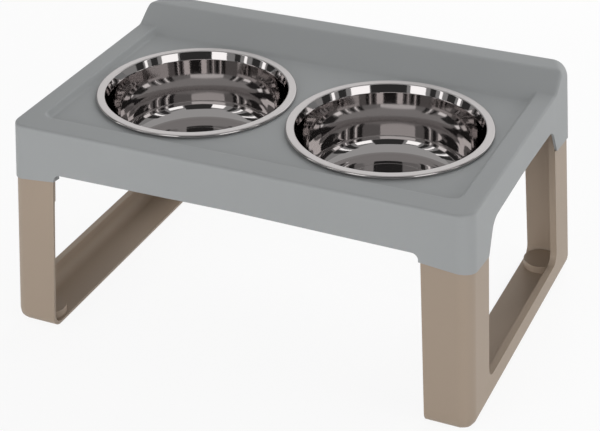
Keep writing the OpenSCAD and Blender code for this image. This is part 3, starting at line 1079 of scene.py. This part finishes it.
def floor_material(white):
    """A white floor that keeps a share of 1 - white for the object's shadow."""
    material = plain("Studio Floor", (0.9, 0.9, 0.9, 1.0), roughness=1.0)
    tree = material.node_tree
    shader, out = tree.nodes["Principled BSDF"], tree.nodes["Material Output"]
    set_inputs(shader, {"Specular IOR Level": 0.0})
    glow = tree.nodes.new("ShaderNodeEmission")
    mix = tree.nodes.new("ShaderNodeMixShader")
    tree.links.new(maths(tree, "MULTIPLY", seen_rays(tree), white), mix.inputs["Fac"])
    tree.links.new(shader.outputs["BSDF"], mix.inputs[1])
    tree.links.new(glow.outputs["Emission"], mix.inputs[2])
    tree.links.new(mix.outputs["Shader"], out.inputs["Surface"])
    return material


def card_material(name, glow):
    """A studio card that shines with the grey value glow."""
    black, white = (0.0, 0.0, 0.0, 1.0), (1.0, 1.0, 1.0, 1.0)
    values = {"Base Color": black, "Roughness": 1.0, "Specular IOR Level": 0.0}
    return new_material(name, values | {"Emission Color": white, "Emission Strength": glow})


def reflection_only(obj):
    """Makes obj a part of the stage that shows in the object's gloss and nowhere else."""
    obj.visible_camera = False
    obj.visible_diffuse = False
    obj.visible_shadow = False
    obj.visible_transmission = False
    return obj


def upright_card(name, place, width, height, material):
    """An upright card at place, turned towards the object, for the steel to reflect."""
    toward = Vector((-place[0], -place[1], 0)).normalized()
    across = Vector((-toward.y, toward.x, 0))
    bm = bmesh.new()
    bmesh.ops.create_grid(bm, x_segments=1, y_segments=1, size=0.5)
    for vert in bm.verts:
        up = Vector((0, 0, vert.co.y * height))
        vert.co = Vector(place) + across * vert.co.x * width + up
    obj = reflection_only(new_object(name, bm))
    obj.data.materials.append(material)
    return obj


def studio_room(reach, height, ceiling, walls):
    """The studio's walls and ceiling, open at the back towards the backdrop."""

    def place(right, back, top):
        return (reach if right else -reach, reach if back else -reach, height if top else -MM)

    obj = block("studio_room", place)
    bm = bmesh.new()
    bm.from_mesh(obj.data)
    gone = [f for f in bm.faces if f.normal.y > 0.5 or f.normal.z < -0.5]
    bmesh.ops.delete(bm, geom=gone, context="FACES_ONLY")
    for face in bm.faces:
        face.material_index = 0 if face.normal.z > 0.5 else 1
    bm.to_mesh(obj.data)
    bm.free()
    obj.data.materials.append(ceiling)
    obj.data.materials.append(walls)
    return reflection_only(obj)


def area_light(scene, name, place, size, power):
    """A square area light turned towards the object and left out of its reflections."""
    data = bpy.data.lights.new(name, "AREA")
    data.size = size
    data.energy = power
    light = bpy.data.objects.new(name, data)
    light.location = place
    light.rotation_euler = (LAMP_TARGET - Vector(place)).to_track_quat("-Z", "Y").to_euler()
    light.visible_camera = False
    light.visible_glossy = False
    scene.collection.objects.link(light)


# ---- operators ----


class FEEDER_OT_add_tray(bpy.types.Operator):
    """Add the tray moulding"""

    bl_idname = "feeder.add_tray"
    bl_label = "Add Tray"

    def execute(self, context):
        scene = context.scene
        obj = make_tray(scene.feeder_tray, scene.feeder_legs, scene.feeder_bowls)
        grey = plastic("Grey Plastic", scene.feeder_finish.grey, roughness=0.55)
        place_piece(obj, grey, "tray", "tray", "tray")
        return {"FINISHED"}


class FEEDER_OT_add_bowls(bpy.types.Operator):
    """Add the two steel bowls"""

    bl_idname = "feeder.add_bowls"
    bl_label = "Add Bowls"

    def execute(self, context):
        scene = context.scene
        bowl = scene.feeder_bowls
        for side, x in (("left", -bowl.spacing / 2), ("right", bowl.spacing / 2)):
            obj = make_bowl(f"bowl_pressing_{side}", bowl, x)
            steel = spun_steel(f"Spun Steel {side.title()}", scene.feeder_finish.steel, bowl, x)
            place_piece(obj, steel, f"bowl_{side}", "bowls", f"bowl_{side}")
        return {"FINISHED"}


class FEEDER_OT_add_legs(bpy.types.Operator):
    """Add the two leg frames"""

    bl_idname = "feeder.add_legs"
    bl_label = "Add Leg Frames"

    def execute(self, context):
        scene = context.scene
        taupe = plastic("Taupe Plastic", scene.feeder_finish.taupe, roughness=0.5)
        right = make_right_leg(scene.feeder_tray, scene.feeder_legs)
        left = smooth(mirrored(right, "leg_frame_left"))
        for side, obj in (("left", left), ("right", right)):
            place_piece(obj, taupe, f"leg_{side}", "legs", f"leg_{side}")
        return {"FINISHED"}


class FEEDER_OT_add_feet(bpy.types.Operator):
    """Add the four rubber feet"""

    bl_idname = "feeder.add_feet"
    bl_label = "Add Feet"

    def execute(self, context):
        scene = context.scene
        leg = scene.feeder_legs
        x, y = foot_place(scene.feeder_tray, leg)
        rubber = plain("Rubber", scene.feeder_finish.rubber, roughness=0.75)
        for side, sx in (("left", -1), ("right", 1)):
            for end, sy in (("front", -1), ("rear", 1)):
                obj = make_foot(f"foot_pad_{end}_{side}", leg, sx * x, sy * y)
                place_piece(obj, rubber, f"leg_{side}", "feet", f"foot_{end}_{side}")
        return {"FINISHED"}


class FEEDER_OT_add_stage(bpy.types.Operator):
    """Add the floor, the lights, the backdrop and the camera"""

    bl_idname = "feeder.add_stage"
    bl_label = "Add Stage"

    def execute(self, context):
        scene = context.scene
        bm = bmesh.new()
        bmesh.ops.create_grid(bm, x_segments=1, y_segments=1, size=FLOOR_REACH)
        floor = new_object("floor", bm)
        floor.data.materials.append(floor_material(FLOOR_WHITE))
        add_world(scene, WORLD_LIGHT)
        ceiling = card_material("Studio Ceiling", CEILING_GLOW)
        walls = card_material("Studio Walls", WALL_GLOW)
        dark = card_material("Dark Card", DARK_GLOW)
        bright = card_material("Softbox", BRIGHT_GLOW)
        studio_room(ROOM_REACH, ROOM_HEIGHT, ceiling, walls)
        for i, (degrees, width, lit) in enumerate(STUDIO_CARDS):
            a = math.radians(degrees)
            place = (CARD_DISTANCE * math.cos(a), CARD_DISTANCE * math.sin(a), CARD_MIDDLE)
            card = bright if lit else dark
            upright_card(f"studio_card_{i}", place, width, ROOM_HEIGHT, card)
        for name, (place, width, height) in SOFTBOXES.items():
            upright_card(name, place, width, height, bright)
        for name, (place, size, power) in LAMPS.items():
            area_light(scene, name, place, size, power)
        add_camera(scene)
        scene.view_settings.view_transform = "Standard"
        return {"FINISHED"}


class VIEW3D_PT_feeder(bpy.types.Panel):
    """The feeder's sizes, colours and operators"""

    bl_label = "Raised Dog Feeder"
    bl_space_type = "VIEW_3D"
    bl_region_type = "UI"
    bl_category = "Feeder"

    def draw(self, context):
        layout = self.layout
        for operator in OPERATORS:
            layout.operator(operator.bl_idname)
        for sizes in (getattr(context.scene, name) for name in SETTINGS):
            box = layout.box()
            box.label(text=type(sizes).__name__)
            for name in sizes.__annotations__:
                box.prop(sizes, name)


SETTINGS = {
    "feeder_tray": FeederTraySizes,
    "feeder_legs": FeederLegSizes,
    "feeder_bowls": FeederBowlSizes,
    "feeder_finish": FeederFinish,
}
OPERATORS = (
    FEEDER_OT_add_tray,
    FEEDER_OT_add_bowls,
    FEEDER_OT_add_legs,
    FEEDER_OT_add_feet,
    FEEDER_OT_add_stage,
)
CLASSES = (*SETTINGS.values(), *OPERATORS, VIEW3D_PT_feeder)


def register():
    for cls in CLASSES:
        bpy.utils.register_class(cls)
    for name, group in SETTINGS.items():
        setattr(bpy.types.Scene, name, PointerProperty(type=group))


def unregister():
    for name in SETTINGS:
        delattr(bpy.types.Scene, name)
    for cls in reversed(CLASSES):
        bpy.utils.unregister_class(cls)


def main():
    register()
    bpy.ops.feeder.add_tray()
    bpy.ops.feeder.add_bowls()
    bpy.ops.feeder.add_legs()
    bpy.ops.feeder.add_feet()
    bpy.ops.feeder.add_stage()


if __name__ == "__main__":
    main()
